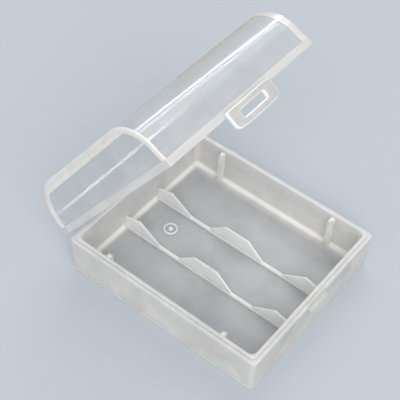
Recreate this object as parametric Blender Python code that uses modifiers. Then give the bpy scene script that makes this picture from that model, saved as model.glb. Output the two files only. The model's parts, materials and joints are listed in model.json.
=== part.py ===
"""Hinged case for two short cylindrical cells, moulded in milky clear polypropylene.

X runs along the hinge, the latch is at -Y, the hinge at +Y, and +Z is up. The origin is the middle
of the tray's underside. The lid is drawn shut, and then opened about the hinge to its rest angle.
Lengths are in metres.
"""
import math

import bmesh
import bpy
from mathutils import Matrix

# Tray: a low box whose walls flare a little towards the rim
TRAY_WIDTH = 0.0425
TRAY_LENGTH = 0.0480
TRAY_HEIGHT = 0.0093
TRAY_FLARE = 0.00015
TRAY_CORNER_RADIUS = 0.0010
TRAY_FOOT_RADIUS = 0.0005
TRAY_RIM_RADIUS = 0.0002
TRAY_WALL = 0.0015
FLOOR_THICKNESS = 0.0008
FLOOR_FILLET = 0.0011
CAVITY_FLARE = 0.00035
CAVITY_CORNER_RADIUS = 0.0012

# Raised lip inside the tray's rim, which the lid's rebate drops over
LEDGE_WIDTH = 0.00075
LIP_HEIGHT = 0.0005
LIP_RADIUS = 0.00015

# Air left between solids that lie on each other, and how far a cutter passes what it cuts
SEAT_GAP = 0.00025
CUT_OVERRUN = 0.0020

# Divider ribs: two low fences across the floor, dipped where each cell lies
RIB_PITCH = 0.0110
RIB_THICKNESS = 0.0009
RIB_HEIGHT = 0.0043
RIB_SILL_HEIGHT = 0.0006
RIB_MIDDLE_CREST_share = 0.135
RIB_MIDDLE_FOOT_share = 0.325
RIB_END_FOOT_share = 0.555
RIB_END_CREST_share = 0.816

# End stops: short uprights on the side walls that the ends of the cells meet
STOP_PITCH = 0.0298
STOP_THICKNESS = 0.00125
STOP_DEPTH = 0.00145
STOP_BELOW_LEDGE = 0.0002

# Gate mark: the round spot on the floor where the plastic was injected
GATE_OFFSET = 0.0140
GATE_RADIUS = 0.0017
GATE_RING_WALL = 0.0005
GATE_RING_HEIGHT = 0.0004
GATE_DISC_THICKNESS = 0.00015
GATE_NUB_RADIUS = 0.0004
GATE_NUB_HEIGHT = 0.0006

# Catch: the wedge on the tray's front wall that the latch loop snaps over
CATCH_WIDTH = 0.0062
CATCH_HEIGHT = 0.0012
CATCH_BELOW_LEDGE = 0.0004
CATCH_PROUD = 0.00055
CATCH_NOSE_HEIGHT = 0.0003

# Film hinge: one leaf on each half, meeting along the hinge line
HINGE_WIDTH = 0.0256
HINGE_STANDOFF = 0.0009
HINGE_BELOW_LEDGE = 0.0002
LEAF_CLEARANCE = 0.0001
LEAF_EDGE = 0.0004
LEAF_HEIGHT = 0.0013
LID_OPENING = math.radians(55.7)

# Lid: a deep cover with two large round shoulders and flat ends
LID_DEPTH = 0.01125
LID_WALL = 0.00105
LID_CLOSED_GAP = 0.00015
LID_HINGE_OVERHANG = 0.00015
LID_HINGE_RADIUS = 0.0092
LID_HINGE_LEAN = 0.00015
LID_HINGE_BAND = 0.0017
LID_LATCH_INSET = 0.00065
LID_LATCH_RADIUS = 0.0080
LID_LIP_OVERHANG = 0.0001
LID_LIP_HEIGHT = 0.0008
LID_LIP_FLARE = 0.0009
LID_END_LEAN = 0.0001
LID_EDGE_RADIUS = 0.0004
REBATE_HEIGHT = 0.0010
REBATE_CLEARANCE = 0.00015

# Latch loop: the springy tab under the lid's front lip, with a slot for the catch
LOOP_WIDTH = 0.0126
LOOP_RISE = 0.0009
LOOP_DROP = 0.0033
LOOP_THICKNESS = 0.0010
LOOP_CHAMFER = 0.0010
LOOP_BOW = 0.0002
LOOP_EDGE_RADIUS = 0.0002
LOOP_ROOT_HEIGHT = 0.0005
SLOT_SIDE_CLEARANCE = 0.0004
SLOT_TOP_CLEARANCE = 0.0002
SLOT_BOTTOM_CLEARANCE = 0.0001

# How finely round edges are cut into facets
CORNER_SEGMENTS = 5
EDGE_SEGMENTS = 2
SHOULDER_SEGMENTS = 12
BOW_SEGMENTS = 6
TURN_STEPS = 32

# Plain polypropylene colours, linear
PLASTIC_MILKY = (0.62, 0.60, 0.57, 1.0)
PLASTIC_CLEAR = (0.55, 0.56, 0.58, 1.0)
PLASTIC_THICK = (0.74, 0.72, 0.68, 1.0)
PLASTIC_ROUGHNESS = 0.35

# Places worked out from the sizes above
TRAY_TOP_X = TRAY_WIDTH / 2 + TRAY_FLARE
TRAY_TOP_Y = TRAY_LENGTH / 2 + TRAY_FLARE
LIP_TOP = TRAY_HEIGHT + LIP_HEIGHT
CAVITY_TOP_X = TRAY_TOP_X - TRAY_WALL
CAVITY_TOP_Y = TRAY_TOP_Y - TRAY_WALL
CAVITY_FLOOR_X = CAVITY_TOP_X - CAVITY_FLARE
CAVITY_FLOOR_Y = CAVITY_TOP_Y - CAVITY_FLARE
HINGE_Y = TRAY_TOP_Y + HINGE_STANDOFF
HINGE_Z = TRAY_HEIGHT - HINGE_BELOW_LEDGE
RIM_Z = TRAY_HEIGHT + LID_CLOSED_GAP
LID_TOP_Z = RIM_Z + LID_DEPTH
LID_HINGE_Y = TRAY_TOP_Y + LID_HINGE_OVERHANG
LID_LATCH_Y = -TRAY_TOP_Y + LID_LATCH_INSET
LID_LIP_Y = -TRAY_TOP_Y - LID_LIP_OVERHANG
CATCH_TOP_Z = TRAY_HEIGHT - CATCH_BELOW_LEDGE
CATCH_BOTTOM_Z = CATCH_TOP_Z - CATCH_HEIGHT
LOOP_BACK_Y = LID_LIP_Y - SEAT_GAP
LOOP_ROOT_Y = LOOP_BACK_Y - LOOP_THICKNESS / 2
LOOP_ROOT_Z = RIM_Z + LOOP_ROOT_HEIGHT

# A flat outline drawn in X and Y is stood up by one of these turns
ALONG_X = Matrix(((0, 0, 1, 0), (1, 0, 0, 0), (0, 1, 0, 0), (0, 0, 0, 1)))
ALONG_Y = Matrix(((1, 0, 0, 0), (0, 0, -1, 0), (0, 1, 0, 0), (0, 0, 0, 1)))


def clear_scene():
    for obj in list(bpy.data.objects):
        bpy.data.objects.remove(obj, do_unlink=True)


def new_collection(name):
    collection = bpy.data.collections.new(name)
    bpy.context.scene.collection.children.link(collection)
    return collection


def plastic(name, colour):
    material = bpy.data.materials.new(name)
    material.use_nodes = True
    shader = material.node_tree.nodes["Principled BSDF"]
    shader.inputs["Base Color"].default_value = colour
    shader.inputs["Roughness"].default_value = PLASTIC_ROUGHNESS
    shader.inputs["Metallic"].default_value = 0.0
    return material


def shade(mesh):
    mesh.shade_smooth()
    mesh.set_sharp_from_angle(angle=math.radians(30))


def add_piece(name, mesh, colour):
    obj = bpy.data.objects.new(name, mesh)
    shade(mesh)
    mesh.materials.append(plastic(name + "_plastic", colour))
    PIECES.objects.link(obj)
    return obj


def add_cutter(name, mesh):
    obj = bpy.data.objects.new(name, mesh)
    obj.hide_render = True
    obj.display_type = "WIRE"
    CUTTERS.objects.link(obj)
    return obj


def combine(obj, other, operation):
    modifier = obj.modifiers.new(other.name, "BOOLEAN")
    modifier.operation = operation
    modifier.solver = "EXACT"
    modifier.object = other


def tapered_box(name, low, high, z_low, z_high, corner, foot, crown):
    """A box between two heights, low and high being its half sizes there, with rounded edges."""
    shape = bmesh.new()
    bmesh.ops.create_cube(shape, size=1)
    for vert in shape.verts:
        half = high if vert.co.z > 0 else low
        vert.co.x = math.copysign(half[0], vert.co.x)
        vert.co.y = math.copysign(half[1], vert.co.y)
        vert.co.z = z_high if vert.co.z > 0 else z_low
    middle = (z_low + z_high) / 2
    upright = [e for e in shape.edges if (e.verts[0].co.z - middle) * (e.verts[1].co.z - middle) < 0]
    bmesh.ops.bevel(shape, geom=upright, offset=corner, segments=CORNER_SEGMENTS,
                    profile=0.5, affect="EDGES")
    for level, radius in ((z_low, foot), (z_high, crown)):
        if radius > 0:
            ring = [e for e in shape.edges if all(abs(v.co.z - level) < radius / 10 for v in e.verts)]
            bmesh.ops.bevel(shape, geom=ring, offset=radius, segments=EDGE_SEGMENTS * 2,
                            profile=0.5, affect="EDGES")
    bmesh.ops.recalc_face_normals(shape, faces=shape.faces)
    mesh = bpy.data.meshes.new(name)
    shape.to_mesh(mesh)
    shape.free()
    return mesh


def slab(name, outline, thickness, turn):
    """A flat outline with a thickness, centred on the plane it is drawn in, stood up by turn."""
    curve = bpy.data.curves.new(name, "CURVE")
    curve.dimensions = "2D"
    curve.fill_mode = "BOTH"
    curve.extrude = thickness / 2
    spline = curve.splines.new("POLY")
    spline.points.add(len(outline) - 1)
    for point, (u, v) in zip(spline.points, outline):
        point.co = (u, v, 0, 1)
    spline.use_cyclic_u = True
    flat = bpy.data.objects.new(name + "_outline", curve)
    bpy.context.scene.collection.objects.link(flat)
    graph = bpy.context.evaluated_depsgraph_get()
    mesh = bpy.data.meshes.new_from_object(flat.evaluated_get(graph))
    bpy.data.objects.remove(flat, do_unlink=True)
    bpy.data.curves.remove(curve)
    shape = bmesh.new()
    shape.from_mesh(mesh)
    bmesh.ops.remove_doubles(shape, verts=shape.verts, dist=thickness / 1000)
    bmesh.ops.dissolve_limit(shape, angle_limit=math.radians(1), verts=shape.verts, edges=shape.edges)
    bmesh.ops.transform(shape, matrix=turn, verts=shape.verts)
    bmesh.ops.recalc_face_normals(shape, faces=shape.faces)
    shape.to_mesh(mesh)
    shape.free()
    mesh.name = name
    return mesh


def round_edges(mesh, radius, wanted):
    """Rounds the sharp edges of a mesh that wanted picks."""
    shape = bmesh.new()
    shape.from_mesh(mesh)
    sharp = [e for e in shape.edges if e.calc_face_angle(0) > math.radians(60) and wanted(e)]
    bmesh.ops.bevel(shape, geom=sharp, offset=radius, segments=EDGE_SEGMENTS, profile=0.5,
                    affect="EDGES", clamp_overlap=True)
    bmesh.ops.recalc_face_normals(shape, faces=shape.faces)
    shape.to_mesh(mesh)
    shape.free()


def arc(centre, radius, start, end, steps):
    """Points on a round stretch of an outline, angles in degrees."""
    angles = [math.radians(start + (end - start) * i / steps) for i in range(steps + 1)]
    return [(centre[0] + radius * math.cos(a), centre[1] + radius * math.sin(a)) for a in angles]


def cavity_half(z):
    """Half width and half length of the tray's hollow at a height."""
    rise = (z - FLOOR_THICKNESS) / (LIP_TOP - FLOOR_THICKNESS) - 1
    return (CAVITY_TOP_X + CAVITY_FLARE * rise, CAVITY_TOP_Y + CAVITY_FLARE * rise)


def add_tray():
    """Floor and four walls, with the raised lip round the rim."""
    low = (TRAY_WIDTH / 2, TRAY_LENGTH / 2)
    high = (TRAY_TOP_X, TRAY_TOP_Y)
    tray = add_piece("tray", tapered_box("tray", low, high, 0, TRAY_HEIGHT, TRAY_CORNER_RADIUS,
                                         TRAY_FOOT_RADIUS, TRAY_RIM_RADIUS), PLASTIC_MILKY)
    lip_half = (TRAY_TOP_X - LEDGE_WIDTH, TRAY_TOP_Y - LEDGE_WIDTH)
    lip = add_cutter("lip_block", tapered_box("lip_block", lip_half, lip_half, FLOOR_THICKNESS / 2,
                                              LIP_TOP, TRAY_CORNER_RADIUS, 0, LIP_RADIUS))
    top = LIP_TOP + CUT_OVERRUN
    hollow = add_cutter("tray_hollow", tapered_box("tray_hollow", cavity_half(FLOOR_THICKNESS),
                                                   cavity_half(top), FLOOR_THICKNESS, top,
                                                   CAVITY_CORNER_RADIUS, FLOOR_FILLET, 0))
    combine(tray, lip, "UNION")
    combine(tray, hollow, "DIFFERENCE")


def add_divider_ribs():
    """Each rib stands along Y, high at the middle and the ends, low under the two cells."""
    base = FLOOR_THICKNESS + SEAT_GAP
    sill = FLOOR_THICKNESS + RIB_SILL_HEIGHT
    crest = FLOOR_THICKNESS + RIB_HEIGHT
    fillet_top = FLOOR_THICKNESS + FLOOR_FILLET + SEAT_GAP
    foot_end = cavity_half(base)[1] - FLOOR_FILLET - SEAT_GAP
    side = cavity_half(fillet_top)[1] - SEAT_GAP
    crest_end = cavity_half(crest)[1] - SEAT_GAP
    right = [(foot_end, base), (side, fillet_top), (crest_end, crest),
             (CAVITY_FLOOR_Y * RIB_END_CREST_share, crest),
             (CAVITY_FLOOR_Y * RIB_END_FOOT_share, sill),
             (CAVITY_FLOOR_Y * RIB_MIDDLE_FOOT_share, sill),
             (CAVITY_FLOOR_Y * RIB_MIDDLE_CREST_share, crest)]
    outline = right + [(-y, z) for y, z in reversed(right)]
    for name, side_sign in (("divider_rib_left", -1), ("divider_rib_right", 1)):
        rib = add_piece(name, slab(name, outline, RIB_THICKNESS, ALONG_X), PLASTIC_THICK)
        rib.location.x = side_sign * RIB_PITCH / 2


def add_end_stops():
    """An upright near each end of both side walls, with its foot cut back over the floor fillet."""
    base = FLOOR_THICKNESS + SEAT_GAP
    top = TRAY_HEIGHT - STOP_BELOW_LEDGE
    fillet_top = FLOOR_THICKNESS + FLOOR_FILLET + SEAT_GAP
    wall_foot = cavity_half(base)[0] - FLOOR_FILLET - SEAT_GAP
    wall_side = cavity_half(fillet_top)[0] - SEAT_GAP
    wall_top = cavity_half(top)[0] - SEAT_GAP
    outline = [(CAVITY_FLOOR_X - STOP_DEPTH, base), (wall_foot, base), (wall_side, fillet_top),
               (wall_top, top), (CAVITY_TOP_X - STOP_DEPTH, top)]
    for side, x_sign in (("left", -1), ("right", 1)):
        for end, y_sign in (("front", -1), ("rear", 1)):
            name = "end_stop_" + side + "_" + end
            points = [(x_sign * x, z) for x, z in outline]
            stop = add_piece(name, slab(name, points, STOP_THICKNESS, ALONG_Y), PLASTIC_THICK)
            stop.location.y = y_sign * STOP_PITCH / 2


def add_gate_mark():
    """A shallow ring with a nub at its middle, turned from its profile, nearer the hinge."""
    base = FLOOR_THICKNESS + SEAT_GAP
    disc = base + GATE_DISC_THICKNESS
    inner = GATE_RADIUS - GATE_RING_WALL
    profile = [(0, base + GATE_NUB_HEIGHT), (GATE_NUB_RADIUS, base + GATE_NUB_HEIGHT),
               (GATE_NUB_RADIUS, disc), (inner, disc), (inner, base + GATE_RING_HEIGHT),
               (GATE_RADIUS, base + GATE_RING_HEIGHT), (GATE_RADIUS, base), (0, base)]
    mesh = bpy.data.meshes.new("gate_mark")
    edges = [(i, i + 1) for i in range(len(profile) - 1)]
    mesh.from_pydata([(x, 0, z) for x, z in profile], edges, [])
    gate = add_piece("gate_mark", mesh, PLASTIC_THICK)
    gate.location.y = GATE_OFFSET
    turn = gate.modifiers.new("turn", "SCREW")
    turn.steps = TURN_STEPS
    turn.render_steps = TURN_STEPS
    turn.use_merge_vertices = True
    turn.merge_threshold = GATE_DISC_THICKNESS / 10


def add_latch_catch():
    """A wedge across the front wall: sloped above so the loop rides over it, square below."""
    back = -TRAY_TOP_Y - SEAT_GAP
    nose = back - CATCH_PROUD
    nose_low = CATCH_BOTTOM_Z + CATCH_NOSE_HEIGHT / 2
    outline = [(back, CATCH_BOTTOM_Z), (back, CATCH_TOP_Z), (nose, nose_low + CATCH_NOSE_HEIGHT),
               (nose, nose_low)]
    add_piece("latch_catch", slab("latch_catch", outline, CATCH_WIDTH, ALONG_X), PLASTIC_THICK)


def add_hinge_leaf(name, wall_y, up):
    """A wedge along a rim that carries one half of the film hinge, on the side that up points to."""
    inner = wall_y + SEAT_GAP
    near = HINGE_Z + up * LEAF_CLEARANCE
    edge = near + up * LEAF_EDGE
    far = near + up * LEAF_HEIGHT
    outline = [(inner, near), (HINGE_Y, near), (HINGE_Y, edge), (inner, far)]
    return add_piece(name, slab(name, outline, HINGE_WIDTH, ALONG_X), PLASTIC_THICK)


def lid_shoulders(inset):
    """The two round shoulders and the flat between them, inset from the lid's outer face."""
    top = LID_TOP_Z - inset
    hinge_radius = LID_HINGE_RADIUS - inset
    latch_radius = LID_LATCH_RADIUS - inset
    hinge_centre = (LID_HINGE_Y - LID_HINGE_LEAN - inset - hinge_radius, top - hinge_radius)
    latch_centre = (LID_LATCH_Y + inset + latch_radius, top - latch_radius)
    return (arc(hinge_centre, hinge_radius, 0, 90, SHOULDER_SEGMENTS)
            + arc(latch_centre, latch_radius, 90, 180, SHOULDER_SEGMENTS))


def lean_ends(mesh):
    """Draws the end faces together a little towards the lid's top."""
    for vert in mesh.vertices:
        share = (vert.co.z - RIM_Z) / LID_DEPTH
        vert.co.x -= math.copysign(LID_END_LEAN * share, vert.co.x)


def add_lid():
    """The cover, hollowed from below, with a rebate round its rim for the tray's lip."""
    outer = [(LID_HINGE_Y, RIM_Z), (LID_HINGE_Y, RIM_Z + LID_HINGE_BAND)]
    outer += lid_shoulders(0)
    outer += [(LID_LATCH_Y, RIM_Z + LID_LIP_HEIGHT + LID_LIP_FLARE),
              (LID_LIP_Y, RIM_Z + LID_LIP_HEIGHT), (LID_LIP_Y, RIM_Z)]
    cover = slab("lid", outer, TRAY_TOP_X * 2, ALONG_X)
    lean_ends(cover)
    inside = TRAY_TOP_X - LID_EDGE_RADIUS

    def end_edge(edge):
        low = all(vert.co.z < RIM_Z + LID_EDGE_RADIUS / 10 for vert in edge.verts)
        return not low and all(abs(vert.co.x) > inside for vert in edge.verts)

    round_edges(cover, LID_EDGE_RADIUS, end_edge)
    lid = add_piece("lid", cover, PLASTIC_CLEAR)

    below = RIM_Z - CUT_OVERRUN
    inner = [(LID_HINGE_Y - LID_WALL, below)] + lid_shoulders(LID_WALL) + [(LID_LATCH_Y + LID_WALL, below)]
    hollow_mesh = slab("lid_hollow", inner, (TRAY_TOP_X - LID_WALL) * 2, ALONG_X)
    lean_ends(hollow_mesh)
    hollow = add_cutter("lid_hollow", hollow_mesh)
    lip_x = TRAY_TOP_X - LEDGE_WIDTH + REBATE_CLEARANCE
    lip_y = TRAY_TOP_Y - LEDGE_WIDTH + REBATE_CLEARANCE
    rebate = add_cutter("lid_rebate", tapered_box("lid_rebate", (lip_x, lip_y), (lip_x, lip_y), below,
                                                  RIM_Z + REBATE_HEIGHT, TRAY_CORNER_RADIUS, 0, 0))
    combine(lid, hollow, "DIFFERENCE")
    combine(lid, rebate, "DIFFERENCE")
    return lid, (hollow, rebate)


def add_latch_loop():
    """A tab with chamfered corners and a bowed lower edge, slotted for the catch."""
    top = RIM_Z + LOOP_RISE
    corner_z = RIM_Z - LOOP_DROP + LOOP_BOW
    half = LOOP_WIDTH / 2
    bow_half = half - LOOP_CHAMFER
    bow = []
    for i in range(BOW_SEGMENTS + 1):
        share = 2 * i / BOW_SEGMENTS - 1
        bow.append((bow_half * share, corner_z - LOOP_BOW * (1 - share * share)))
    outline = ([(-half, top), (-half, corner_z + LOOP_CHAMFER)] + bow
               + [(half, corner_z + LOOP_CHAMFER), (half, top)])
    mesh = slab("latch_loop", outline, LOOP_THICKNESS, ALONG_Y)
    round_edges(mesh, LOOP_EDGE_RADIUS, lambda edge: True)
    loop = add_piece("latch_loop", mesh, PLASTIC_THICK)
    loop.location.y = LOOP_ROOT_Y

    slot_top = CATCH_TOP_Z + SLOT_TOP_CLEARANCE
    slot_bottom = CATCH_BOTTOM_Z - SLOT_BOTTOM_CLEARANCE
    slot_half = CATCH_WIDTH / 2 + SLOT_SIDE_CLEARANCE
    hole = [(-slot_half, slot_bottom), (slot_half, slot_bottom), (slot_half, slot_top), (-slot_half, slot_top)]
    slot = add_cutter("loop_slot", slab("loop_slot", hole, LOOP_THICKNESS + CUT_OVERRUN, ALONG_Y))
    slot.location.y = LOOP_ROOT_Y
    combine(loop, slot, "DIFFERENCE")
    return loop, slot


def add_pivot(name, y, z, parent):
    """An empty on a joint's axis, which turns what is parented to it."""
    pivot = bpy.data.objects.new(name, None)
    PIECES.objects.link(pivot)
    if parent:
        hang_on(pivot, parent)
    pivot.location = (0, y, z)
    bpy.context.view_layer.update()
    return pivot


def hang_on(obj, pivot):
    """Parents an object that is drawn in place, with the lid shut."""
    obj.parent = pivot
    obj.matrix_parent_inverse = pivot.matrix_world.inverted()


clear_scene()
PIECES = new_collection("battery_case")
CUTTERS = new_collection("cutters")

add_tray()
add_divider_ribs()
add_end_stops()
add_gate_mark()
add_latch_catch()
add_hinge_leaf("hinge_leaf_tray", TRAY_TOP_Y, -1)

lid_pivot = add_pivot("lid_pivot", HINGE_Y, HINGE_Z, None)
loop_pivot = add_pivot("loop_pivot", LOOP_ROOT_Y, LOOP_ROOT_Z, lid_pivot)
lid, lid_cutters = add_lid()
loop, loop_cutter = add_latch_loop()
for part in (lid, add_hinge_leaf("hinge_leaf_lid", LID_HINGE_Y, 1)) + lid_cutters:
    hang_on(part, lid_pivot)
for part in (loop, loop_cutter):
    hang_on(part, loop_pivot)
lid_pivot.rotation_euler.x = -LID_OPENING
bpy.context.view_layer.update()
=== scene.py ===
import json
import math

import bmesh
import bpy
from mathutils import Matrix, Vector
from mathutils.bvhtree import BVHTree


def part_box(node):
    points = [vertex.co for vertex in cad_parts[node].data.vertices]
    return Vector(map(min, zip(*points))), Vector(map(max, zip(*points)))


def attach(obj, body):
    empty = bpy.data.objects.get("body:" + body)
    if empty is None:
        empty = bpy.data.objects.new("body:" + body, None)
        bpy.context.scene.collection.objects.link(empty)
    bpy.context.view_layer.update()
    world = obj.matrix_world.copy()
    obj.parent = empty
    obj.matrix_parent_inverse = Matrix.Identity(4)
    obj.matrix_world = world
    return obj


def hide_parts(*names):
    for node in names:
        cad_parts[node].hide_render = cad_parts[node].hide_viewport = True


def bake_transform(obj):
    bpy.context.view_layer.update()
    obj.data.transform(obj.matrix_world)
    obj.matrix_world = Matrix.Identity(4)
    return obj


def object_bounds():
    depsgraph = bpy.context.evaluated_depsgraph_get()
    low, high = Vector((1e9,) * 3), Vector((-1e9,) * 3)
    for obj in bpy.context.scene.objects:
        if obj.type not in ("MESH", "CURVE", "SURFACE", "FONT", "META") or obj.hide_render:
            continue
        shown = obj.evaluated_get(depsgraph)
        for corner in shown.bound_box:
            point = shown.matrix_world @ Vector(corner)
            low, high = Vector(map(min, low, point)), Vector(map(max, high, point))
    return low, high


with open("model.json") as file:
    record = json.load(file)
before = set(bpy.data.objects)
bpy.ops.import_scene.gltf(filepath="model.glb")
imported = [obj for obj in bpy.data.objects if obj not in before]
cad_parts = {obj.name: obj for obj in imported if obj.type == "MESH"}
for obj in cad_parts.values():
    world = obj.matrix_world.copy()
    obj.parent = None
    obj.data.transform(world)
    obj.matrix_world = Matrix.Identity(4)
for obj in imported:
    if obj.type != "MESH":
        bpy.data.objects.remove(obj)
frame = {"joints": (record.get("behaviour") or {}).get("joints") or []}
cad_low, cad_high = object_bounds()

# Studio: a plain pale table top under a soft overcast dome, with a large soft lamp behind the hinge
# and another in front. Two narrow window strips show only as reflections: one along the lid's
# shoulder, one through its end. The camera stands where the photograph was taken from.
mm = 0.001
table_size = 3.0
table_drop = 0.03 * mm
table_colour = (0.48, 0.515, 0.56, 1.0)
table_roughness = 0.75
table_gloss = 0.2
sky_colour = (0.98, 0.99, 1.0, 1.0)
sky_strength = 0.54
soft_place = (0.46, 0.31, 0.71)
soft_sizes = (0.6, 0.6)
soft_power = 2.4
fill_place = (-0.60, -0.52, 0.83)
fill_sizes = (0.9, 0.9)
fill_power = 9.9
window_place = (0.543, 0.466, 0.592)
window_run = (0.63, -0.75, 0.15)
window_sizes = (0.34, 0.042)
window_power = 1.35
low_window_place = (0.428, -0.706, 0.302)
low_window_run = (0.90, 0.43, 0.03)
low_window_sizes = (0.24, 0.05)
low_window_power = 1.15
camera_place = (-115.70 * mm, -76.44 * mm, 178.24 * mm)
camera_turn = (41.243, -2.472, -51.540)
camera_lens = 93.28
camera_sensor = 36.0
camera_near = 0.01

table_mesh = bpy.data.meshes.new("table_top")
half_table = table_size / 2
table_corners = ((-1, -1), (1, -1), (1, 1), (-1, 1))
table_mesh.from_pydata([(x * half_table, y * half_table, -table_drop) for x, y in table_corners],
                       [], [(0, 1, 2, 3)])
table = bpy.data.objects.new("table_top", table_mesh)
bpy.context.scene.collection.objects.link(table)
table_paint = bpy.data.materials.new("table_paint")
table_paint.use_nodes = True
table_shader = table_paint.node_tree.nodes["Principled BSDF"]
table_shader.inputs["Base Color"].default_value = table_colour
table_shader.inputs["Roughness"].default_value = table_roughness
table_shader.inputs["Specular IOR Level"].default_value = table_gloss
table.data.materials.append(table_paint)

world = bpy.data.worlds.new("overcast_dome")
world.use_nodes = True
world.node_tree.nodes["Background"].inputs["Color"].default_value = sky_colour
world.node_tree.nodes["Background"].inputs["Strength"].default_value = sky_strength
bpy.context.scene.world = world
bpy.context.scene.view_settings.view_transform = "Standard"


def add_panel(name, place, run, sizes, power, lights_up=True):
    """A soft rectangular lamp that faces the middle of the case. run is the way its first side
    goes. A lamp that doesn't light things up shows only as a reflection."""
    lamp = bpy.data.lights.new(name, "AREA")
    lamp.shape = "RECTANGLE"
    lamp.size, lamp.size_y = sizes
    lamp.energy = power
    panel = bpy.data.objects.new(name, lamp)
    panel.location = place
    away = (panel.location - (cad_low + cad_high) / 2).normalized()
    level = (Vector(run) - away * away.dot(Vector(run))).normalized()
    panel.rotation_euler = Matrix((level, away.cross(level), away)).transposed().to_euler()
    panel.visible_diffuse = lights_up
    bpy.context.scene.collection.objects.link(panel)


add_panel("soft_back", soft_place, (1, 0, 0), soft_sizes, soft_power)
add_panel("soft_front", fill_place, (1, 0, 0), fill_sizes, fill_power)
add_panel("window", window_place, window_run, window_sizes, window_power, lights_up=False)
add_panel("low_window", low_window_place, low_window_run, low_window_sizes, low_window_power,
          lights_up=False)

camera_data = bpy.data.cameras.new("camera")
camera_data.lens = camera_lens
camera_data.sensor_width = camera_sensor
camera_data.clip_start = camera_near
camera = bpy.data.objects.new("camera", camera_data)
camera.location = camera_place
camera.rotation_euler = [math.radians(turn) for turn in camera_turn]
bpy.context.scene.collection.objects.link(camera)
bpy.context.scene.camera = camera

# Tray: the lower half of the case, a thin-walled moulding in milky polypropylene with a soft satin
# face. Its rim carries a narrow ledge and a raised lip, and the walls meet the floor in a fillet.
tray_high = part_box("tray")[1]
tray_half_x = tray_high.x
tray_half_y = tray_high.y
lip_top = tray_high.z
lip_height = 0.5 * mm
ledge_height = lip_top - lip_height
ledge_width = 0.75 * mm
tray_flare = 0.15 * mm
tray_wall = 1.5 * mm
floor_thickness = 0.8 * mm
floor_fillet = 1.35 * mm
cavity_flare = 0.35 * mm
outer_corner = 1.0 * mm
inner_corner = 1.2 * mm
foot_radius = 0.35 * mm
rim_radius = 0.2 * mm
lip_radius = 0.17 * mm
corner_steps = 7
edge_steps = 4
fillet_steps = 8
thick_depth = 3.9
fillet_thinning = 12.0
fillet_thins_from = 0.8
slope_facing = (0.3, 0.997)
rim_top_facing = 0.5
rim_top_depth = 2.2
rim_side_depth = 1.7
# Painted light: the outside of the walls gets more depth than the wall has, so it is painted paler
# than the inside of the same wall, standing in for light scattered through the wall.
outer_wall_painted_light_depth = 2.1
corner_depth = 2.4
corner_facing = 0.2
foot_share = 0.9
outside_band = 0.5 * mm


def ring(hinge, latch, half_x, corner, end_bands, side_bands):
    """One loop round a wall. hinge and latch give the point (y, z) and the inward direction of the
    two long sides. The bands are how far from each corner the loop has an extra point: along the
    short ends (from the hinge side, from the latch side) and along each half of a long side."""
    def at(side, inset):
        (y, z), (along_y, along_z) = side
        return (y + inset * along_y, z + inset * along_z)

    loop = []
    centre = half_x - corner
    for quarter, (side, sign) in enumerate(((hinge, 1), (hinge, -1), (latch, -1), (latch, 1))):
        points = []
        for step in range(corner_steps + 1):
            angle = math.radians(90 * (quarter + step / corner_steps))
            inset = corner * (1 - abs(math.sin(angle)))
            points.append((sign * centre + corner * math.cos(angle), *at(side, inset)))
        end_point = (sign * half_x, *at(side, end_bands[quarter // 2]))
        side_point = (sign * (half_x - side_bands[quarter]), *at(side, 0))
        if quarter % 2 == 0:
            loop += [end_point] + points + [side_point]
        else:
            loop += [side_point] + points + [end_point]
    return loop


def box_ring(half_x, half_y, z, corner, band):
    """A level loop with upright corners."""
    return ring(((half_y, z), (-1, 0)), ((-half_y, z), (1, 0)), half_x, corner, [band] * 2, [band] * 4)


def bridge(rings, looped=False):
    """A skin over a run of loops, and its rows of points. Looped, the last row joins the first."""
    skin = bmesh.new()
    rows = [[skin.verts.new(point) for point in loop] for loop in rings]
    for lower, upper in zip(rows, rows[1:] + rows[:1] if looped else rows[1:]):
        for i in range(len(lower)):
            j = (i + 1) % len(lower)
            skin.faces.new((lower[i], lower[j], upper[j], upper[i]))
    return skin, rows


def loft(rings):
    """A closed skin over a run of loops. The first and the last are closed across the object."""
    skin, rows = bridge(rings)
    count = len(rows[0])
    for row in (rows[0], rows[-1]):
        for i in range(count // 2 - 1):
            skin.faces.new((row[i], row[i + 1], row[count - 2 - i], row[count - 1 - i]))
    bmesh.ops.recalc_face_normals(skin, faces=skin.faces)
    return skin


def measure_depth(skin, seat, known_depth):
    """Keeps on each face how many millimetres of plastic lie behind it. Rims, feet and corners are
    looked into lengthwise, so they look milkier than the thin panels. seat is the direction in
    which a small feature is fused to what carries it: it is milkiest near there. known_depth gives
    the depth of even walls and of the places where two walls join, and None elsewhere."""
    big = [face for face in skin.faces if len(face.verts) > 4]
    bmesh.ops.triangulate(skin, faces=big)
    skin.faces.ensure_lookup_table()
    depth = skin.faces.layers.float.new("plastic_depth")
    tree = BVHTree.FromBMesh(skin)
    skip = 0.002 * mm
    deepest = 12.0
    fused_depth = 4.0
    least_fused = 0.5
    seat_likeness = 0.9
    looks = 8
    spread = math.radians(28)
    for face in skin.faces:
        inward = -face.normal
        start = face.calc_center_median() + inward * skip
        sideways = inward.orthogonal()
        reach = 0
        for turn in range(looks + 1):
            lean = sideways.copy()
            lean.rotate(Matrix.Rotation(math.radians(360 / looks * turn), 3, inward))
            look = inward if turn == looks else inward * math.cos(spread) + lean * math.sin(spread)
            behind, distance = tree.ray_cast(start, look)[1::2]
            length = deepest if distance is None else min(deepest, distance / mm)
            if seat and behind and behind.dot(Vector(seat)) > seat_likeness:
                length = max(fused_depth - length, least_fused)
            reach = max(reach, length)
        known = known_depth(face.calc_center_median(), face.normal) if known_depth else None
        face[depth] = reach if known is None else known


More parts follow.
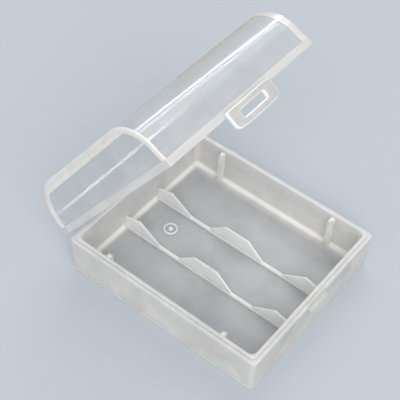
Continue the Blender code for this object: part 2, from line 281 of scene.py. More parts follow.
def moulding(name, skin, sharp_angle=40, seat=None, known_depth=None, turned=None):
    """A mesh object from a skin, with even shading on its flat faces."""
    measure_depth(skin, seat, known_depth)
    if turned:
        bmesh.ops.transform(skin, matrix=turned, verts=skin.verts)
    mesh = bpy.data.meshes.new(name)
    skin.to_mesh(mesh)
    skin.free()
    mesh.shade_smooth()
    mesh.set_sharp_from_angle(angle=math.radians(sharp_angle))
    piece = bpy.data.objects.new(name, mesh)
    bpy.context.scene.collection.objects.link(piece)
    even = piece.modifiers.new("even_faces", "WEIGHTED_NORMAL")
    even.keep_sharp = True
    return piece


def settle(piece):
    """Turns what the modifiers make of a piece into its plain mesh."""
    graph = bpy.context.evaluated_depsgraph_get()
    mesh = bpy.data.meshes.new_from_object(piece.evaluated_get(graph), depsgraph=graph)
    piece.modifiers.clear()
    piece.data = mesh


def milky_group():
    """The look of thin polypropylene: clearer on panels, milky where deep, with faint flow clouds,
    a fine moulded grain and light scuffs. Depths are in millimetres."""
    cloud_scale, cloud_detail, cloud_swirl = 130, 3, 0.6
    cloud_limits, cloud_shades = (0.3, 0.7), (0.93, 1.04)
    core_start, core_end = 4.0, 8.0
    grain_scale, grain_detail, grain_height = 5200, 2, 0.03 * mm
    scuff_turn, scuff_stretch = (0.3, 0.2, 0.7), (300, 5200, 2600)
    scuff_limits, scuff_roughness = (0.55, 0.75), 0.025
    group = bpy.data.node_groups.new("milky_polypropylene", "ShaderNodeTree")
    for name, kind, value in (("Depth", "NodeSocketFloat", 1.0),
                              ("Panel Colour", "NodeSocketColor", (0.8, 0.8, 0.8, 1)),
                              ("Deep Colour", "NodeSocketColor", (0.9, 0.9, 0.9, 1)),
                              ("Panel Opacity", "NodeSocketFloat", 0.4),
                              ("Deep Opacity", "NodeSocketFloat", 0.9),
                              ("Thin Wall", "NodeSocketFloat", 1.5),
                              ("Thick Wall", "NodeSocketFloat", 5.0),
                              ("Core Shade", "NodeSocketFloat", 0.9),
                              ("Roughness", "NodeSocketFloat", 0.3),
                              ("Grain", "NodeSocketFloat", 0.1)):
        group.interface.new_socket(name, in_out="INPUT", socket_type=kind).default_value = value
    for name, kind in (("Colour", "NodeSocketColor"), ("Opacity", "NodeSocketFloat"),
                       ("Roughness", "NodeSocketFloat"), ("Normal", "NodeSocketVector")):
        group.interface.new_socket(name, in_out="OUTPUT", socket_type=kind)
    nodes, links = group.nodes, group.links
    given = nodes.new("NodeGroupInput")
    out = nodes.new("NodeGroupOutput")
    place = nodes.new("ShaderNodeTexCoord")

    milk = nodes.new("ShaderNodeMapRange")
    milk.interpolation_type = "SMOOTHSTEP"
    links.new(given.outputs["Depth"], milk.inputs["Value"])
    links.new(given.outputs["Thin Wall"], milk.inputs["From Min"])
    links.new(given.outputs["Thick Wall"], milk.inputs["From Max"])

    clouds = nodes.new("ShaderNodeTexNoise")
    clouds.inputs["Scale"].default_value = cloud_scale
    clouds.inputs["Detail"].default_value = cloud_detail
    clouds.inputs["Distortion"].default_value = cloud_swirl
    links.new(place.outputs["Object"], clouds.inputs["Vector"])

    mix = nodes.new("ShaderNodeMix")
    mix.data_type = "RGBA"
    links.new(milk.outputs["Result"], mix.inputs["Factor"])
    links.new(given.outputs["Panel Colour"], mix.inputs["A"])
    links.new(given.outputs["Deep Colour"], mix.inputs["B"])
    shade = nodes.new("ShaderNodeMapRange")
    shade.inputs["From Min"].default_value, shade.inputs["From Max"].default_value = cloud_limits
    shade.inputs["To Min"].default_value, shade.inputs["To Max"].default_value = cloud_shades
    links.new(clouds.outputs["Fac"], shade.inputs["Value"])
    core = nodes.new("ShaderNodeMapRange")
    core.inputs["From Min"].default_value = core_start
    core.inputs["From Max"].default_value = core_end
    core.inputs["To Min"].default_value = 1
    links.new(given.outputs["Depth"], core.inputs["Value"])
    links.new(given.outputs["Core Shade"], core.inputs["To Max"])
    dim = nodes.new("ShaderNodeMath")
    dim.operation = "MULTIPLY"
    links.new(shade.outputs["Result"], dim.inputs[0])
    links.new(core.outputs["Result"], dim.inputs[1])
    tone = nodes.new("ShaderNodeVectorMath")
    tone.operation = "SCALE"
    links.new(mix.outputs["Result"], tone.inputs[0])
    links.new(dim.outputs["Value"], tone.inputs["Scale"])
    links.new(tone.outputs["Vector"], out.inputs["Colour"])

    cover = nodes.new("ShaderNodeMix")
    cover.data_type = "FLOAT"
    links.new(milk.outputs["Result"], cover.inputs["Factor"])
    links.new(given.outputs["Panel Opacity"], cover.inputs["A"])
    links.new(given.outputs["Deep Opacity"], cover.inputs["B"])
    thicken = nodes.new("ShaderNodeMath")
    thicken.operation = "MULTIPLY"
    thicken.use_clamp = True
    links.new(cover.outputs["Result"], thicken.inputs[0])
    links.new(shade.outputs["Result"], thicken.inputs[1])
    links.new(thicken.outputs["Value"], out.inputs["Opacity"])

    grain = nodes.new("ShaderNodeTexNoise")
    grain.inputs["Scale"].default_value = grain_scale
    grain.inputs["Detail"].default_value = grain_detail
    links.new(place.outputs["Object"], grain.inputs["Vector"])
    bump = nodes.new("ShaderNodeBump")
    bump.inputs["Distance"].default_value = grain_height
    links.new(given.outputs["Grain"], bump.inputs["Strength"])
    links.new(grain.outputs["Fac"], bump.inputs["Height"])
    links.new(bump.outputs["Normal"], out.inputs["Normal"])

    lie = nodes.new("ShaderNodeMapping")
    lie.inputs["Rotation"].default_value = scuff_turn
    lie.inputs["Scale"].default_value = scuff_stretch
    links.new(place.outputs["Object"], lie.inputs["Vector"])
    scuffs = nodes.new("ShaderNodeTexNoise")
    scuffs.inputs["Scale"].default_value = 1
    scuffs.inputs["Detail"].default_value = 1
    links.new(lie.outputs["Vector"], scuffs.inputs["Vector"])
    scuffed = nodes.new("ShaderNodeMapRange")
    scuffed.inputs["From Min"].default_value, scuffed.inputs["From Max"].default_value = scuff_limits
    scuffed.inputs["To Max"].default_value = scuff_roughness
    links.new(scuffs.outputs["Fac"], scuffed.inputs["Value"])
    rough = nodes.new("ShaderNodeMath")
    links.new(given.outputs["Roughness"], rough.inputs[0])
    links.new(scuffed.outputs["Result"], rough.inputs[1])
    links.new(rough.outputs["Value"], out.inputs["Roughness"])
    return group


milky = milky_group()


def polypropylene(name, colours, opacities, walls, core_shade, roughness, grain, gloss):
    """A polypropylene material. colours and opacities are those of a thin panel and of deep
    plastic. walls is the depth in millimetres at which the plastic starts to look milky, and at
    which it is fully milky. core_shade is how much of its light the deepest plastic keeps."""
    refraction = 1.49
    scatter_share = 0.8
    scatter_reach = 2.4 * mm
    material = bpy.data.materials.new(name)
    material.use_nodes = True
    nodes, links = material.node_tree.nodes, material.node_tree.links
    shader = nodes["Principled BSDF"]
    depth = nodes.new("ShaderNodeAttribute")
    depth.attribute_name = "plastic_depth"
    look = nodes.new("ShaderNodeGroup")
    look.node_tree = milky
    links.new(depth.outputs["Fac"], look.inputs["Depth"])
    look.inputs["Panel Colour"].default_value = colours[0] + (1,)
    look.inputs["Deep Colour"].default_value = colours[1] + (1,)
    look.inputs["Panel Opacity"].default_value, look.inputs["Deep Opacity"].default_value = opacities
    look.inputs["Thin Wall"].default_value, look.inputs["Thick Wall"].default_value = walls
    look.inputs["Core Shade"].default_value = core_shade
    look.inputs["Roughness"].default_value = roughness
    look.inputs["Grain"].default_value = grain
    for output, socket in (("Colour", "Base Color"), ("Opacity", "Alpha"),
                           ("Roughness", "Roughness"), ("Normal", "Normal")):
        links.new(look.outputs[output], shader.inputs[socket])
    shader.inputs["IOR"].default_value = refraction
    shader.inputs["Specular IOR Level"].default_value = gloss
    shader.inputs["Subsurface Weight"].default_value = scatter_share
    shader.inputs["Subsurface Scale"].default_value = scatter_reach
    shader.inputs["Subsurface Radius"].default_value = (1.0, 1.0, 1.0)
    return material


def cavity_half(z):
    """Half width and half length of the tray's hollow at a height."""
    rise = (z - floor_thickness) / (lip_top - floor_thickness) - 1
    inset = tray_wall - cavity_flare * rise
    return (tray_half_x - inset, tray_half_y - inset)


def outer_half(z):
    """Half width and half length of the tray's outside at a height."""
    lean = tray_flare * (z / ledge_height - 1)
    return (tray_half_x + lean, tray_half_y + lean)


def outer_ring(z, inset):
    """A loop round the tray's outside at a height, drawn in by an inset."""
    half_x, half_y = outer_half(z)
    corner = outer_corner - min(inset, outer_corner / 2)
    return box_ring(half_x - inset, half_y - inset, z, corner, tray_wall)


def rounded(steps, radius):
    """(inset, climb) pairs round a quarter edge, from its flat face to its upright face."""
    angles = [math.radians(90 * step / steps) for step in range(steps + 1)]
    return [(radius * (1 - math.sin(a)), radius * (1 - math.cos(a))) for a in angles]


foot_inset = tray_flare + tray_wall
tray_rings = [box_ring(tray_half_x - foot_inset, tray_half_y - foot_inset, 0, outer_corner, tray_wall)]
tray_rings += [outer_ring(climb, inset) for inset, climb in rounded(edge_steps, foot_radius)]
tray_rings += [outer_ring(floor_thickness, 0), outer_ring(ledge_height / 2, 0)]
tray_rings += [outer_ring(ledge_height - climb, inset)
               for inset, climb in reversed(rounded(edge_steps, rim_radius))]
lip_half_x = tray_half_x - ledge_width
lip_half_y = tray_half_y - ledge_width
tray_rings += [box_ring(lip_half_x, lip_half_y, ledge_height, outer_corner, tray_wall)]
for inset, climb in reversed(rounded(edge_steps, lip_radius)):
    tray_rings.append(box_ring(lip_half_x - inset, lip_half_y - inset, lip_top - climb, outer_corner,
                               tray_wall))
for inset, climb in rounded(edge_steps, lip_radius):
    half_x, half_y = cavity_half(lip_top - climb)
    tray_rings.append(box_ring(half_x + inset, half_y + inset, lip_top - climb, inner_corner,
                               tray_wall))
fillet_top = floor_thickness + floor_fillet
wall_middle = (fillet_top + lip_top) / 2
tray_rings.append(box_ring(*cavity_half(wall_middle), wall_middle, inner_corner, tray_wall))
half_x, half_y = cavity_half(fillet_top)
for inset, climb in reversed(rounded(fillet_steps, floor_fillet)):
    corner = max(inner_corner - inset / 2, inner_corner / 2)
    tray_rings.append(box_ring(half_x - inset, half_y - inset, floor_thickness + climb, corner,
                               tray_wall))


def tray_depth(place, facing):
    """The fillet round the floor and the floor's edge round the foot are the thickest places of the
    tray. The fillet thins out towards the floor. The rim, the outside of the walls and the inside
    corners are even. The outside of the walls is given more depth than the wall has, painted light
    that makes it paler than the inside of the same wall."""
    if place.z > ledge_height - rim_radius:
        return rim_top_depth if facing.z > rim_top_facing else rim_side_depth
    upright = abs(facing.z) < slope_facing[0]
    if abs(place.x) > lip_half_x - outside_band or abs(place.y) > lip_half_y - outside_band:
        if place.z < floor_thickness * foot_share:
            return thick_depth
        # Painted light: the outside of the walls is made paler than their inside.
        return outer_wall_painted_light_depth if upright else None
    if slope_facing[0] < facing.z < slope_facing[1] and place.z < fillet_top:
        return thick_depth - fillet_thinning * max(facing.z - fillet_thins_from, 0)
    return corner_depth if upright and min(abs(facing.x), abs(facing.y)) > corner_facing else None


tray = moulding("tray_moulding", loft(tray_rings), known_depth=tray_depth)
tray.data.materials.append(polypropylene(
    "tray_polypropylene", colours=((0.595, 0.60, 0.615), (0.97, 0.94, 0.87)), opacities=(0.58, 0.92),
    walls=(0.9, 3.8), core_shade=0.76, roughness=0.44, grain=0.25, gloss=0.5))
settle(tray)
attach(tray, "tray")
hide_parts("tray")

# Divider ribs: two low fences moulded on the floor, high at the middle and against the walls and
# dipped where the cells lie. Each is a thin fin on a low ridge, which is milky all along, and the
# fin tapers a little upwards so that it leaves the mould. Their colours are painted far paler than
# the tray's own plastic: painted light that makes up for the shade inside the tray.
rib_pitch = 11.0 * mm
ridge_half = 0.45 * mm
ridge_fillet = 0.2 * mm
ridge_rounding = 0.14 * mm
fin_half = 0.28 * mm
fin_draft = 0.03 * mm
rib_rounding = 0.15 * mm
rib_height = 4.2 * mm
sill_height = 0.5 * mm
sink = 0.04 * mm
cavity_floor_y = cavity_half(floor_thickness)[1]
middle_crest_share = 0.135
middle_foot_share = 0.325
end_foot_share = 0.555
end_crest_share = 0.816
end_drop = 1.1 * mm
kink_share = 0.012
crown_share = 0.9


def fence_height(y):
    """Height of a rib above the floor, with eased corners."""
    share = abs(y) / cavity_floor_y
    if share < end_foot_share:
        climb = (middle_foot_share - share) / (middle_foot_share - middle_crest_share)
    else:
        climb = (share - end_foot_share) / (end_crest_share - end_foot_share)
    climb = min(max(climb, 0), 1)
    drop = end_drop * max(share - end_crest_share, 0) / (1 - end_crest_share)
    return sill_height + (rib_height - sill_height) * climb - drop


def fillet_rise(reach):
    """Height of the floor's fillet at a reach past its start, towards the wall."""
    reach = min(max(reach, 0), floor_fillet)
    return floor_fillet - math.sqrt(floor_fillet ** 2 - reach ** 2)


fillet_start = cavity_half(fillet_top)[1] - floor_fillet
stations = {0.0}
for share in (middle_crest_share, middle_foot_share, end_foot_share, end_crest_share):
    stations |= {(share + side * kink_share) * cavity_floor_y for side in (-1, 0, 1)}
stations |= {fillet_start + floor_fillet * step / fillet_steps for step in range(fillet_steps)}
stations = sorted(stations)
stations = [-y for y in reversed(stations[1:])] + stations


def rib_section(y):
    """The loop round a rib at one place along it: up one side, over the crown and down the other."""
    base = floor_thickness + fillet_rise(abs(y) - fillet_start) - sink
    top = floor_thickness + fence_height(y)
    side = []
    for step in range(edge_steps + 1):
        angle = math.radians(90 * step / edge_steps)
        side.append((ridge_half + ridge_fillet * (1 - math.sin(angle)),
                     base + sink * step / edge_steps + ridge_fillet * (1 - math.cos(angle))))
    shoulder = base + sink + ridge_fillet + ridge_rounding
    for inset, drop in reversed(rounded(edge_steps, ridge_rounding)):
        side.append((ridge_half - inset, shoulder - drop))
    side.append((fin_half, shoulder + sink))
    for inset, drop in reversed(rounded(edge_steps, rib_rounding)):
        side.append((fin_half - fin_draft - inset * crown_share, max(top - drop, shoulder + sink)))
    return [(x, y, z) for x, z in side] + [(-x, y, z) for x, z in reversed(side)]


end_y = cavity_half(fillet_top)[1] + sink
rib_rings = [rib_section(y) for y in stations]
rib_rings = ([[(x, -end_y, z) for x, y, z in rib_rings[0]]] + rib_rings
             + [[(x, end_y, z) for x, y, z in rib_rings[-1]]])
ribs = moulding("divider_ribs", loft(rib_rings), seat=(0, 0, -1))
# Painted light: the rib plastic is far paler than the tray's, to make up for the shade inside the
# tray.
rib_plastic_painted_light = polypropylene(
    "rib_polypropylene_painted_light", colours=((0.96, 0.96, 0.94), (1.0, 0.99, 0.96)), opacities=(0.72, 0.98),
    walls=(1.6, 3.0), core_shade=1.0, roughness=0.42, grain=0.25, gloss=0.5)


def new_tree(name, sizes):
    """A geometry tree with named sizes. Gives the tree, its input node and the sockets."""
    tree = bpy.data.node_groups.new(name, "GeometryNodeTree")
    tree.interface.new_socket("Geometry", in_out="INPUT", socket_type="NodeSocketGeometry")
    sockets = {}
    for size in sizes:
        sockets[size] = tree.interface.new_socket(size, in_out="INPUT", socket_type="NodeSocketFloat")
    tree.interface.new_socket("Geometry", in_out="OUTPUT", socket_type="NodeSocketGeometry")
    return tree, tree.nodes.new("NodeGroupInput"), sockets


def spaced_copies(tree, given, pitch, axis):
    """Nodes that set two copies of the geometry a pitch apart along an axis, about the middle."""
    nodes, links = tree.nodes, tree.links
    step = nodes.new("ShaderNodeCombineXYZ")
    links.new(given.outputs[pitch], step.inputs[axis])
    start = nodes.new("ShaderNodeVectorMath")
    start.operation = "SCALE"
    start.inputs["Scale"].default_value = -0.5
    links.new(step.outputs["Vector"], start.inputs[0])
    line = nodes.new("GeometryNodeMeshLine")
    line.inputs["Count"].default_value = 2
    links.new(start.outputs["Vector"], line.inputs["Start Location"])
    links.new(step.outputs["Vector"], line.inputs["Offset"])
    copies = nodes.new("GeometryNodeInstanceOnPoints")
    links.new(line.outputs["Mesh"], copies.inputs["Points"])
    links.new(given.outputs["Geometry"], copies.inputs["Instance"])
    return copies.outputs["Instances"]


def finish_tree(tree, geometry, material):
    """Ends a tree in real faces with a material."""
    real = tree.nodes.new("GeometryNodeRealizeInstances")
    coat = tree.nodes.new("GeometryNodeSetMaterial")
    coat.inputs["Material"].default_value = material
    out = tree.nodes.new("NodeGroupOutput")
    tree.links.new(geometry, real.inputs["Geometry"])
    tree.links.new(real.outputs["Geometry"], coat.inputs["Geometry"])
    tree.links.new(coat.outputs["Geometry"], out.inputs["Geometry"])


def grow(piece, tree, sockets, sizes):
    """Runs a tree on a piece with the given sizes, and keeps the result as its mesh."""
    run = piece.modifiers.new(tree.name, "NODES")
    run.node_group = tree
    for size, value in sizes.items():
        run[sockets[size].identifier] = value
    settle(piece)


rib_tree, rib_given, rib_sockets = new_tree("rib_pair", ["Pitch"])
finish_tree(rib_tree, spaced_copies(rib_tree, rib_given, "Pitch", "X"), rib_plastic_painted_light)
grow(ribs, rib_tree, rib_sockets, {"Pitch": rib_pitch})
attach(ribs, "tray")
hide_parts("divider_rib_left", "divider_rib_right")

# End stops: four short uprights moulded on the inside of the two side walls. The ends of the cells
# meet them, and thicker plastic makes them a little milkier than the wall behind. Their colours are
# also painted far paler than the tray's own plastic: painted light that makes up for the shade
# inside the tray.
stop_pitch = 29.8 * mm
stop_thickness = 1.25 * mm
stop_depth = 1.45 * mm
stop_below_ledge = 0.2 * mm
stop_rounding = 0.2 * mm
stop_top = ledge_height - stop_below_ledge


def stop_ring(z_of, wall_x, inset):
    """The plan of an upright at one level. z_of gives the height from the reach towards the wall."""
    low_x = wall_x - stop_depth + inset
    high_x = wall_x + sink
    half_y = stop_thickness / 2 - inset
    radius = stop_rounding
    plan = []
    for step in range(edge_steps + 1):
        angle = math.radians(90 * step / edge_steps)
        plan.append((low_x + radius * (1 - math.sin(angle)), half_y - radius * (1 - math.cos(angle))))
    plan = [(high_x, half_y)] + plan[::-1]
    plan += [(x, -y) for x, y in reversed(plan)]
    return [(x, y, z_of(x)) for x, y in plan]


floor_wall_x = cavity_half(fillet_top)[0]
fillet_start_x = floor_wall_x - floor_fillet
stop_rings = [stop_ring(lambda x: floor_thickness - sink + fillet_rise(x - fillet_start_x),
                        floor_wall_x, 0)]
for z in (fillet_top + sink, (fillet_top + stop_top) / 2):
    stop_rings.append(stop_ring(lambda x: z, cavity_half(z)[0], 0))
for inset, drop in reversed(rounded(edge_steps, stop_rounding)):
    stop_rings.append(stop_ring(lambda x: stop_top - drop, cavity_half(stop_top)[0], inset))
stops = moulding("end_stops", loft(stop_rings), seat=(1, 0, 0))
# Painted light: the stop plastic is far paler than the tray's, to make up for the shade inside the
# tray.
stop_plastic_painted_light = polypropylene(
    "stop_polypropylene_painted_light", colours=((0.93, 0.93, 0.93), (0.94, 0.93, 0.91)), opacities=(0.55, 0.90),
    walls=(1.3, 3.4), core_shade=1.0, roughness=0.42, grain=0.25, gloss=0.5)
stop_tree, stop_given, stop_sockets = new_tree("stop_set", ["Pitch"])
right_side = spaced_copies(stop_tree, stop_given, "Pitch", "Y")
left_side = stop_tree.nodes.new("GeometryNodeTransform")
left_side.inputs["Rotation"].default_value = (0, 0, math.pi)
both_sides = stop_tree.nodes.new("GeometryNodeJoinGeometry")
stop_tree.links.new(right_side, left_side.inputs["Geometry"])
stop_tree.links.new(right_side, both_sides.inputs["Geometry"])
stop_tree.links.new(left_side.outputs["Geometry"], both_sides.inputs["Geometry"])
finish_tree(stop_tree, both_sides.outputs["Geometry"], stop_plastic_painted_light)
grow(stops, stop_tree, stop_sockets, {"Pitch": stop_pitch})
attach(stops, "tray")
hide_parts("end_stop_left_front", "end_stop_left_rear", "end_stop_right_front", "end_stop_right_rear")

# Gate mark: the round scar on the floor where the plastic entered the mould, a low ring with the
# nub of the broken sprue in its middle.
gate_low, gate_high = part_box("gate_mark")
gate_radius = (gate_high.x - gate_low.x) / 2
gate_y = (gate_low.y + gate_high.y) / 2
gate_ring_wall = 0.5 * mm
gate_ring_height = 0.4 * mm
gate_floor_height = 0.08 * mm
nub_radius = 0.5 * mm
nub_height = 0.62 * mm
turn_steps = 40
ring_inner = gate_radius - gate_ring_wall
ring_middle = gate_radius - gate_ring_wall / 2
nub_foot = nub_radius * 1.15
nub_shares = ((0, 1), (0.45, 0.97), (0.8, 0.75), (1, 0.35))
ring_shoulders = ((ring_inner + 0.08 * mm, gate_ring_height * 0.8), (ring_middle, gate_ring_height),
                  (gate_radius - 0.06 * mm, gate_ring_height * 0.7))
gate_profile = [(nub_radius * across, nub_height * up) for across, up in nub_shares]
gate_profile += [(nub_foot, gate_floor_height), (ring_inner, gate_floor_height), *ring_shoulders,
                 (gate_radius, -sink), (0, -sink)]


def gate_ring(reach, z):
    """A level loop round the mark's axis."""
    turns = [2 * math.pi * step / turn_steps for step in range(turn_steps)]
    return [(reach * math.cos(turn), gate_y + reach * math.sin(turn), floor_thickness + z)
            for turn in turns]


gate_skin, gate_rows = bridge([gate_ring(reach, z) for reach, z in gate_profile[1:-1]])
for row, (reach, z) in ((gate_rows[0], gate_profile[0]), (gate_rows[-1], gate_profile[-1])):
    middle = gate_skin.verts.new((reach, gate_y, floor_thickness + z))
    for i in range(turn_steps):
        gate_skin.faces.new((middle, row[i], row[(i + 1) % turn_steps]))
bmesh.ops.recalc_face_normals(gate_skin, faces=gate_skin.faces)
gate = moulding("gate_mark_ring", gate_skin, sharp_angle=60)
gate.data.materials.append(polypropylene(
    "gate_polypropylene", colours=((0.82, 0.82, 0.83), (0.97, 0.96, 0.94)), opacities=(0.5, 0.97),
    walls=(0.2, 0.6), core_shade=1.0, roughness=0.34, grain=0.2, gloss=0.6))
settle(gate)
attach(gate, "tray")
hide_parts("gate_mark")

# Latch catch: a small wedge moulded on the front wall under the rim. Its top slopes so that the
# loop rides over it, and its square lower edge holds the loop.
catch_low, catch_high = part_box("latch_catch")
catch_half = catch_high.x
catch_nose_y = catch_low.y
catch_top = ledge_height - 0.15 * mm
catch_bottom = catch_low.z
catch_wall_y = -tray_half_y + sink
catch_end = 0.35 * mm
catch_nose_curve = ((0.06, 0.45), (0, 0.36), (0, 0.15), (0.06, 0.04), (0.14, 0))
catch_profile = [(catch_wall_y, catch_top)]
catch_profile += [(catch_nose_y + back * mm, catch_bottom + up * mm) for back, up in catch_nose_curve]
catch_profile.append((catch_wall_y, catch_bottom))
catch_middle = (catch_top + catch_bottom) / 2


def tapered(half, end, shares):
    """(place, share) pairs along a bar whose two ends are drawn in. shares are those at the very
    end and a little way in."""
    little_way = end * 0.3
    pairs = [(-half, shares[0]), (-half + little_way, shares[1]), (-half + end, 1.0)]
    return pairs + [(-x, share) for x, share in reversed(pairs)]


def drawn_in(profile, middle, pairs):
    """A closed skin along X through a profile, drawn in towards a middle (y, z) at its ends."""
    middle_y, middle_z = middle
    skin, rows = bridge([[(x, middle_y + (y - middle_y) * share, middle_z + (z - middle_z) * share)
                          for y, z in profile] for x, share in pairs])
    for row in (rows[0], rows[-1]):
        skin.faces.new(row)
    bmesh.ops.recalc_face_normals(skin, faces=skin.faces)
    return skin


catch_skin = drawn_in(catch_profile, (catch_wall_y, catch_middle),
                      tapered(catch_half, catch_end, (0.55, 0.85)))
catch = moulding("latch_catch_wedge", catch_skin)
catch.data.materials.append(polypropylene(
    "catch_polypropylene", colours=((0.56, 0.55, 0.53), (0.58, 0.57, 0.53)), opacities=(0.80, 0.95),
    walls=(0.3, 1.0), core_shade=1.0, roughness=0.40, grain=0.2, gloss=0.5))
settle(catch)
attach(catch, "tray")
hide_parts("latch_catch")

# Lid: the deep upper half, clearer and glossier than the tray, with two large round shoulders and
# flat ends. A rebate inside its rim drops over the tray's lip. It is drawn shut and then opened.
hinge_joint = next(joint for joint in frame["joints"] if joint["name"] == "lid_hinge")
hinge_place = Vector(hinge_joint["pos_m"])
lid_opening = math.radians(-hinge_joint["range_deg"][0])
open_lid = (Matrix.Translation(hinge_place) @ Matrix.Rotation(-lid_opening, 4, "X")
            @ Matrix.Translation(-hinge_place))
lid_wall = 1.05 * mm
lid_gap = 0.15 * mm
lid_depth = 11.25 * mm
rim_z = ledge_height + lid_gap
lid_top = rim_z + lid_depth
lid_hinge_y = tray_half_y + 0.15 * mm
hinge_shoulder = 9.2 * mm
hinge_lean = 0.15 * mm
lid_latch_y = -tray_half_y + 0.65 * mm
latch_shoulder = 8.0 * mm
lip_y = -tray_half_y - 0.1 * mm
lip_band = 0.4 * mm
flare_top = 3.1 * mm
milk_band = 1.6 * mm
hinge_rise = 1.76 * mm
end_band = 1.1 * mm
far_band = 1.8 * mm
side_band = 0.45 * mm
end_lean = 0.1 * mm
end_rounding = 0.3 * mm
lid_inner_corner = 0.3 * mm
lid_rim_radius = 0.15 * mm
rebate_height = 1.0 * mm
rebate_inset = ledge_width - 0.15 * mm
shoulder_steps = 28
skin_ease = 0.012 * mm
front_rim_depth = 2.4
hinge_rim_depth = 1.7
far_end_depth = 2.6
far_end_facing = 0.5


def moved(side, inset):
    """A side's point (y, z) and inward direction, drawn in by an inset."""
    (y, z), (along_y, along_z) = side
    return ((y + inset * along_y, z + inset * along_z), (along_y, along_z))


def shoulder_points(step):
    """Outer points and inward directions of both shoulders, from their foot to the lid's top."""
    angle = math.radians(90 * step / shoulder_steps)
    cos, sin = math.cos(angle), math.sin(angle)
    hinge_centre = lid_hinge_y - hinge_lean - hinge_shoulder
    latch_centre = lid_latch_y + latch_shoulder
    hinge = (hinge_centre + hinge_shoulder * cos, lid_top - hinge_shoulder * (1 - sin))
    latch = (latch_centre - latch_shoulder * cos, lid_top - latch_shoulder * (1 - sin))
    return moved((hinge, (-cos, -sin)), skin_ease), moved((latch, (cos, -sin)), skin_ease)


def lid_half_x(z):
    """Half width of the lid's outside at a height."""
    return tray_half_x - end_lean * (z - rim_z) / lid_depth


def lid_ring(hinge, latch, inset, corner):
    """A loop round the lid through one pair of points, drawn in by an inset. The bands of the flat
    ends widen down the hinge shoulder."""
    height = (hinge[0][1] + latch[0][1]) / 2
    end_bands = (end_band * (1 - hinge[1][0]), end_band)
    side_bands = (side_band, side_band, side_band, far_band)
    return ring(moved(hinge, inset), moved(latch, inset), lid_half_x(height) - inset, corner,
                [max(band - inset, lid_wall / 2) for band in end_bands],
                [max(band - inset, lid_wall / 3) for band in side_bands])


outer_rows = [shoulder_points(step) for step in range(shoulder_steps, -1, -1)]
for rise in (flare_top, milk_band, lip_band):
    flare = (flare_top - rise) / (flare_top - lip_band)
    outer_rows.append((((lid_hinge_y, rim_z + min(rise, hinge_rise)), (-1, 0)),
                       ((lid_latch_y + (lip_y - lid_latch_y) * flare, rim_z + rise), (1, 0))))
lid_rings = [lid_ring(hinge, latch, 0, end_rounding) for hinge, latch in outer_rows]
for inset, climb in reversed(rounded(edge_steps, lid_rim_radius)):
    z = rim_z + climb
    lid_rings.append(lid_ring(((lid_hinge_y, z), (-1, 0)), ((lip_y, z), (1, 0)), inset, end_rounding))
rebate_x = tray_half_x - rebate_inset
rebate_y = tray_half_y - rebate_inset
for z in (rim_z, rim_z + rebate_height):
    lid_rings.append(box_ring(rebate_x, rebate_y, z, end_rounding, end_band - rebate_inset))
milk_z = rim_z + milk_band
inner_rows = [(((lid_hinge_y, milk_z), (-1, 0)), ((lid_latch_y, milk_z), (1, 0)))]
inner_rows += [shoulder_points(step) for step in range(shoulder_steps + 1)]
lid_rings += [lid_ring(hinge, latch, lid_wall, lid_inner_corner) for hinge, latch in inner_rows]


def lid_depth_at(place, facing):
    """The lid's rim is double, the wall and the skirt of the rebate, and its far end is cloudy."""
    if place.z < milk_z:
        return front_rim_depth if place.y < 0 else hinge_rim_depth
    far_end = place.x > tray_half_x - far_band and abs(facing.x) < far_end_facing
    return far_end_depth if far_end else None


lid = moulding("lid_moulding", loft(lid_rings), sharp_angle=25, known_depth=lid_depth_at,
               turned=open_lid)
lid.data.materials.append(polypropylene(
    "lid_polypropylene", colours=((0.62, 0.64, 0.665), (0.88, 0.84, 0.77)), opacities=(0.26, 0.84),
    walls=(1.4, 3.2), core_shade=0.92, roughness=0.08, grain=0.015, gloss=1.0))
settle(lid)
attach(lid, "lid")
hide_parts("lid")

# Film hinge: the thin web that was moulded with both halves and creased when the case was first
# shut. It whitens along the crease. It is drawn bent round the crease, between the tray and the
# lid as it stands open.
strap_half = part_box("hinge_leaf_tray")[1].x
strap_root = 1.3 * mm
strap_web = 0.34 * mm
strap_end = 0.25 * mm
leaf_reach = 0.25 * mm
leaf_rise = 0.55 * mm
crease_inner = 0.12 * mm
crease_steps = 6
strap_wall_y = tray_half_y - sink
strap_lid_y = lid_hinge_y - sink


def strap_profile():
    """The web's outline at rest: along the tray's leaf, round the crease, and back along the lid's."""
    crease_y, crease_z = hinge_place.y, hinge_place.z
    tray_side = [(strap_wall_y, crease_z - strap_root), (crease_y - leaf_reach, crease_z - leaf_rise)]
    lid_side = [(crease_y - leaf_reach, crease_z + leaf_rise), (strap_lid_y, crease_z + strap_root)]
    turned = [open_lid @ Vector((0, y, z)) for y, z in lid_side]
    start = math.atan2(-leaf_rise, -leaf_reach)
    turned_start = math.atan2(turned[0].z - crease_z, turned[0].y - crease_y)
    bend = []
    for step in range(1, crease_steps):
        angle = start + (turned_start - start) * step / crease_steps
        bend.append((crease_y + strap_web * math.cos(angle), crease_z + strap_web * math.sin(angle)))
    inner_lid = open_lid @ Vector((0, strap_lid_y, crease_z + crease_inner))
    return (tray_side + bend + [(point.y, point.z) for point in turned + [inner_lid]]
            + [(crease_y - crease_inner, crease_z), (strap_wall_y, crease_z - crease_inner)])


strap_outline = strap_profile()
strap_middle = [sum(values) / len(strap_outline) for values in zip(*strap_outline)]
strap_skin = drawn_in(strap_outline, strap_middle, tapered(strap_half, strap_end, (0.8, 0.94)))
strap = moulding("film_hinge", strap_skin)
strap.data.materials.append(polypropylene(
    "hinge_polypropylene", colours=((0.84, 0.84, 0.82), (0.95, 0.94, 0.90)), opacities=(0.45, 0.92),
    walls=(0.6, 2.5), core_shade=1.0, roughness=0.34, grain=0.2, gloss=0.6))
settle(strap)
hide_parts("hinge_leaf_tray", "hinge_leaf_lid")
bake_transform(strap)

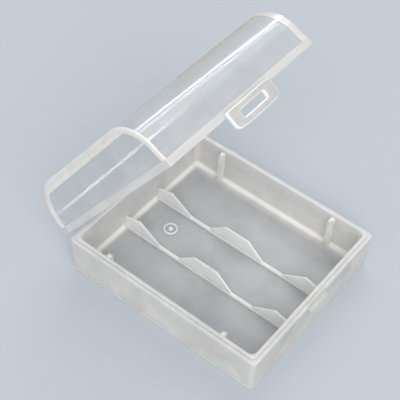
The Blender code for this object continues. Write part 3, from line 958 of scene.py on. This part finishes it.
# Latch loop: the springy tab on the lid's front lip, with a slot that snaps over the catch. It is
# as thick as a wall, so its edges and the faces round the slot look white.
loop_width = 12.6 * mm
loop_rise = 0.9 * mm
loop_drop = 3.3 * mm
loop_thickness = 1.0 * mm
loop_top_corner = 0.35 * mm
loop_low_corner = 1.15 * mm
loop_bow = 0.2 * mm
loop_edge = 0.25 * mm
slot_half = 3.5 * mm
slot_corner = 0.3 * mm
slot_top = ledge_height - 0.2 * mm
slot_bottom = ledge_height - 1.7 * mm
loop_gap = 0.25 * mm
loop_front = lip_y - loop_gap - loop_thickness
loop_back = lip_y - loop_gap
bow_shares = (-0.5, 0, 0.5)
bow_spread = 1.2


def frame_loop(half, low, high, low_corner, high_corner, bow, inset):
    """A rounded four-cornered loop in the tab's plane, drawn in by an inset. Its lower side bows."""
    points = []
    corners = ((half, high, high_corner, 0), (-half, high, high_corner, 90),
               (-half, low, low_corner, 180), (half, low, low_corner, 270))
    for x, z, radius, start in corners:
        centre_x = math.copysign(half - radius, x)
        centre_z = z - radius if start < 180 else z + radius
        for step in range(corner_steps + 1):
            angle = math.radians(start + 90 * step / corner_steps)
            points.append((centre_x + (radius - inset) * math.cos(angle),
                           centre_z + (radius - inset) * math.sin(angle)))
        if start == 180:
            points += [(share * (half - radius) * bow_spread, low - bow * (1 - share * share) + inset)
                       for share in bow_shares]
    return points


def tab_ring(inset, y):
    """A loop round the outside of the tab, at a depth."""
    low, high = rim_z - loop_drop + loop_bow, rim_z + loop_rise
    outline = frame_loop(loop_width / 2, low, high, loop_low_corner, loop_top_corner, loop_bow, inset)
    return [(x, y, z) for x, z in outline]


def slot_ring(outset, y):
    """A loop round the slot, at a depth."""
    outline = frame_loop(slot_half, slot_bottom, slot_top, slot_corner, slot_corner, 0, -outset)
    return [(x, y, z) for x, z in outline]


edge = rounded(edge_steps, loop_edge)
tab_rings = [tab_ring(inset, loop_front + climb) for inset, climb in edge]
tab_rings += [tab_ring(inset, loop_back - climb) for inset, climb in reversed(edge)]
tab_rings += [slot_ring(outset, loop_back - climb) for outset, climb in edge]
tab_rings += [slot_ring(outset, loop_front + climb) for outset, climb in reversed(edge)]
loop_skin = bridge(tab_rings, looped=True)[0]
bmesh.ops.recalc_face_normals(loop_skin, faces=loop_skin.faces)
loop = moulding("latch_loop_tab", loop_skin, turned=open_lid)
loop.data.materials.append(polypropylene(
    "loop_polypropylene", colours=((0.60, 0.58, 0.565), (1.0, 1.0, 0.98)), opacities=(0.70, 1.0),
    walls=(1.15, 1.7), core_shade=1.0, roughness=0.28, grain=0.12, gloss=0.7))
settle(loop)
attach(loop, "latch_loop")
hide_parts("latch_loop")
